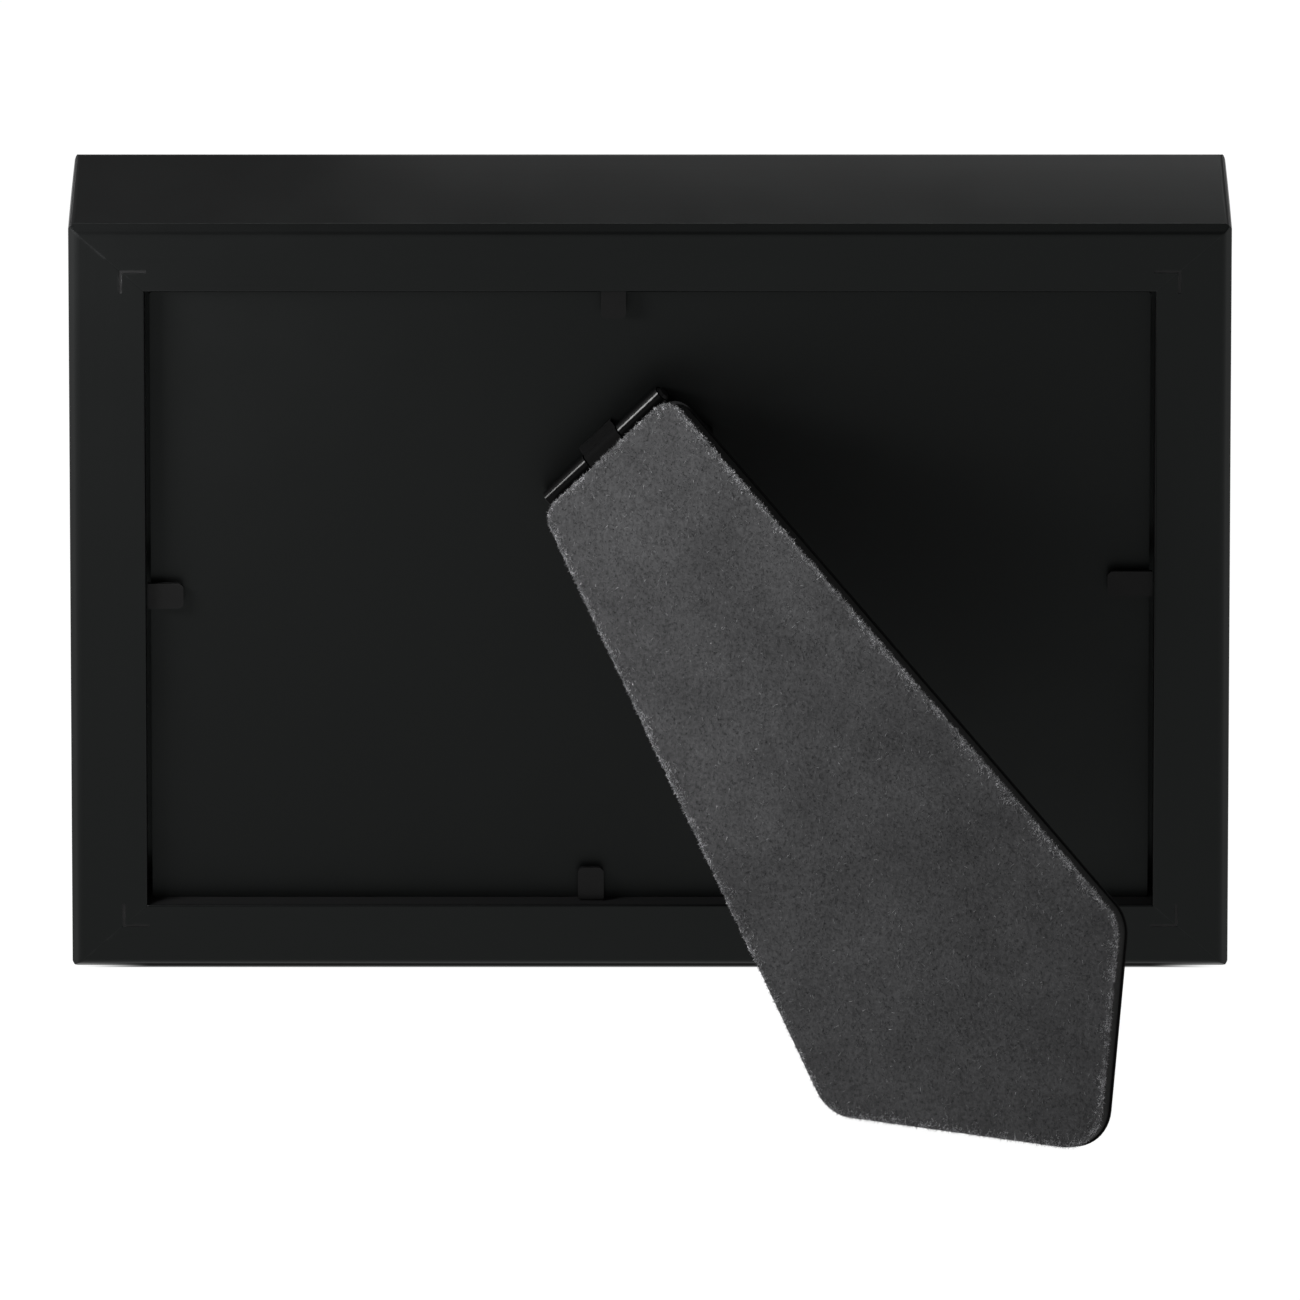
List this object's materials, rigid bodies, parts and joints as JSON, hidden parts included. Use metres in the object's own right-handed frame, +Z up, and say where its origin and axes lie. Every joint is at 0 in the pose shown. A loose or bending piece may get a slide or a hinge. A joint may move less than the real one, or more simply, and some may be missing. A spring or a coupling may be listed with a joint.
{
  "type": "easel back photo frame",
  "caption": "Tabletop photo frame with mitred moulding, glass, backing board held by bendable points, and a diagonally hinged easel leg.",
  "frame": {"origin": "on the floor, under the middle of the bounding box of the frame standing on its open leg", "axes": "+X along the long side, to the right as seen from the display side; +Y out behind the frame, where the leg stands; +Z up"},
  "size_m": [0.207, 0.1234, 0.1573],
  "materials": {
    "moulding": "satin black lacquer",
    "nail_steel": "dark driven steel with bright edges",
    "glass": "clear float glass",
    "insert_paper": "plain matte paper",
    "card": "grey-brown card",
    "board": "dark fibre board",
    "black_paper": "matte black paper",
    "hinge_steel": "black lacquered steel",
    "leaf_black": "dull black phosphate",
    "pin_steel": "plain steel wire",
    "rivet_steel": "plain steel",
    "leg_board": "dense fibre board dyed black",
    "flock": "grey flocked velour paper",
    "lining": "dark flocked velour paper",
    "tab_steel": "black spring steel"
  },
  "bodies": {
    "frame": {"top_rail": "moulding", "bottom_rail": "moulding", "left_rail": "moulding", "right_rail": "moulding", "corner_v_nails": "nail_steel", "glass_pane": "glass", "photo_insert": "insert_paper", "filler_card": "card", "back_board": "board", "back_board_paper": "black_paper", "hinge_board_leaf": "hinge_steel", "hinge_pin": "pin_steel", "hinge_board_rivets": "rivet_steel", "tab_anchors": "tab_steel"},
    "easel_leg": {"hinge_leg_leaf": "leaf_black", "hinge_leg_rivets": "rivet_steel", "leg_core": "leg_board", "leg_flock_cover": "flock", "leg_lining": "lining"},
    "left_tab_point": {"left_tab": "tab_steel"},
    "right_tab_point": {"right_tab": "tab_steel"},
    "bottom_tab_point": {"bottom_tab": "tab_steel"},
    "top_tab_point": {"top_tab": "tab_steel"}
  },
  "joints": [
    {"name": "easel_hinge", "type": "hinge", "parent": "frame", "child": "easel_leg", "pos_m": [0.0078, -0.01474, 0.10764], "axis": [-0.6717, 0.145, 0.7265], "range_deg": [0, 36]},
    {"name": "left_tab_bend", "type": "hinge", "parent": "frame", "child": "left_tab_point", "pos_m": [-0.0897, -0.0208, 0.07907], "axis": [0, 0.1958, 0.9806], "range_deg": [0, 75]},
    {"name": "right_tab_bend", "type": "hinge", "parent": "frame", "child": "right_tab_point", "pos_m": [0.0897, -0.02131, 0.07652], "axis": [0, -0.1958, -0.9806], "range_deg": [0, 75]},
    {"name": "bottom_tab_bend", "type": "hinge", "parent": "frame", "child": "bottom_tab_point", "pos_m": [0.0106, -0.03388, 0.01356], "axis": [-1, 0, 0], "range_deg": [0, 75]},
    {"name": "top_tab_bend", "type": "hinge", "parent": "frame", "child": "top_tab_point", "pos_m": [0.0065, -0.00864, 0.13997], "axis": [1, 0, 0], "range_deg": [0, 75]}
  ]
}
